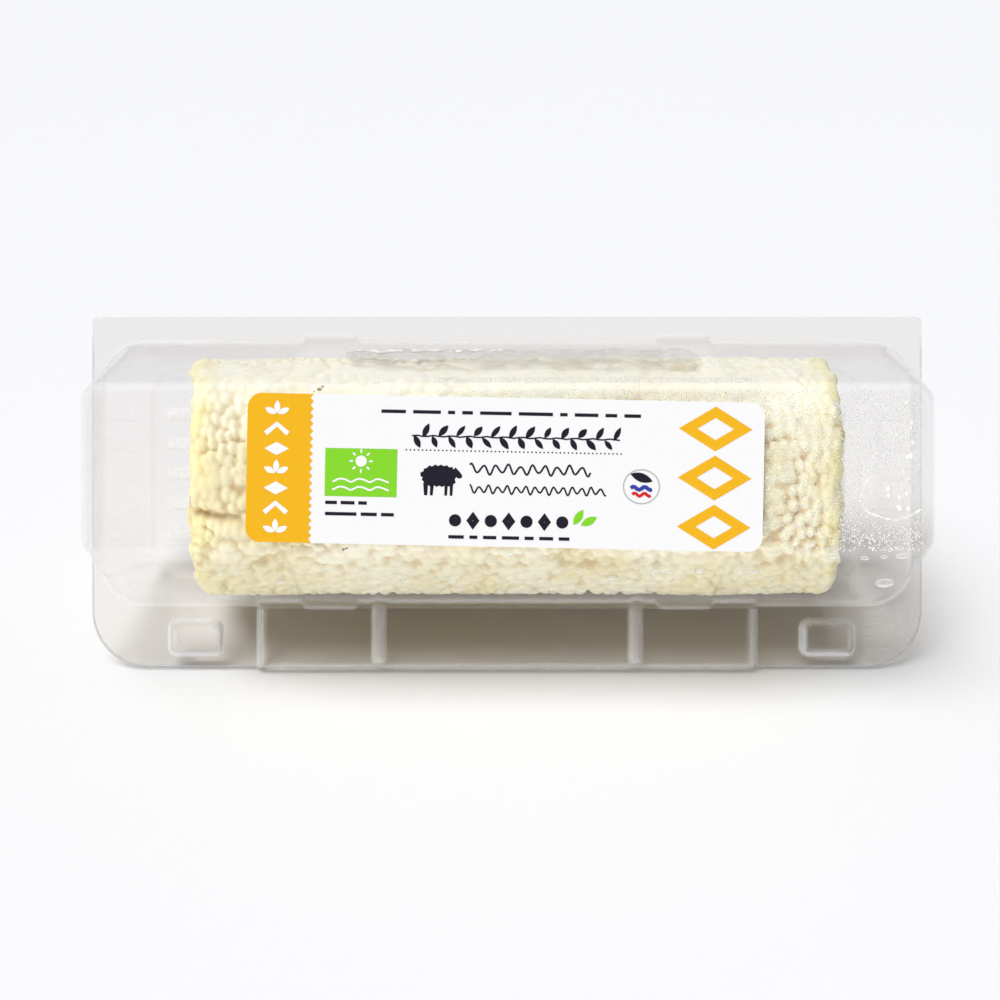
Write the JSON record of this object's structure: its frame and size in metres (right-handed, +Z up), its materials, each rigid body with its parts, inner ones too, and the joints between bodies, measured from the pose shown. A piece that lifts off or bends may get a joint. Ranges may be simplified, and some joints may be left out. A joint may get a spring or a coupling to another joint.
{
  "type": "packed sheep cheese log",
  "caption": "Log of fresh sheep cheese with a wrinkled cream rind, in a clear pressed pack whose lid folds on a long hinge, with a plain patterned label, leaning back on its flange.",
  "frame": {"origin": "middle of the footprint's bounding box, on the surface that the pack leans back on", "axes": "+X runs along the log and the hinge, from the orange band to the other end of the label; +Y points to the back, away from the label; +Z is up"},
  "size_m": [0.171, 0.065, 0.0622],
  "materials": {
    "clear_tray": "thin clear pressed plastic sheet, glossy, slightly grey at its edges",
    "clear_lid": "thin clear pressed plastic sheet, glossy, misted with fine drops inside one end",
    "label_paper": "smooth white printed paper with an orange band, a green field and small black marks",
    "cheese": "soft cream-white wrinkled rind, damp, yellower in its creases and at its ends"
  },
  "bodies": {
    "base": {"tray": "clear_tray", "cheese": "cheese"},
    "lid": {"lid": "clear_lid", "label": "label_paper"}
  },
  "joints": [
    {"name": "lid_hinge", "type": "hinge", "parent": "base", "child": "lid", "pos_m": [0, 0.01334, 0.0621], "axis": [-1, 0, 0], "range_deg": [0, 180]}
  ]
}
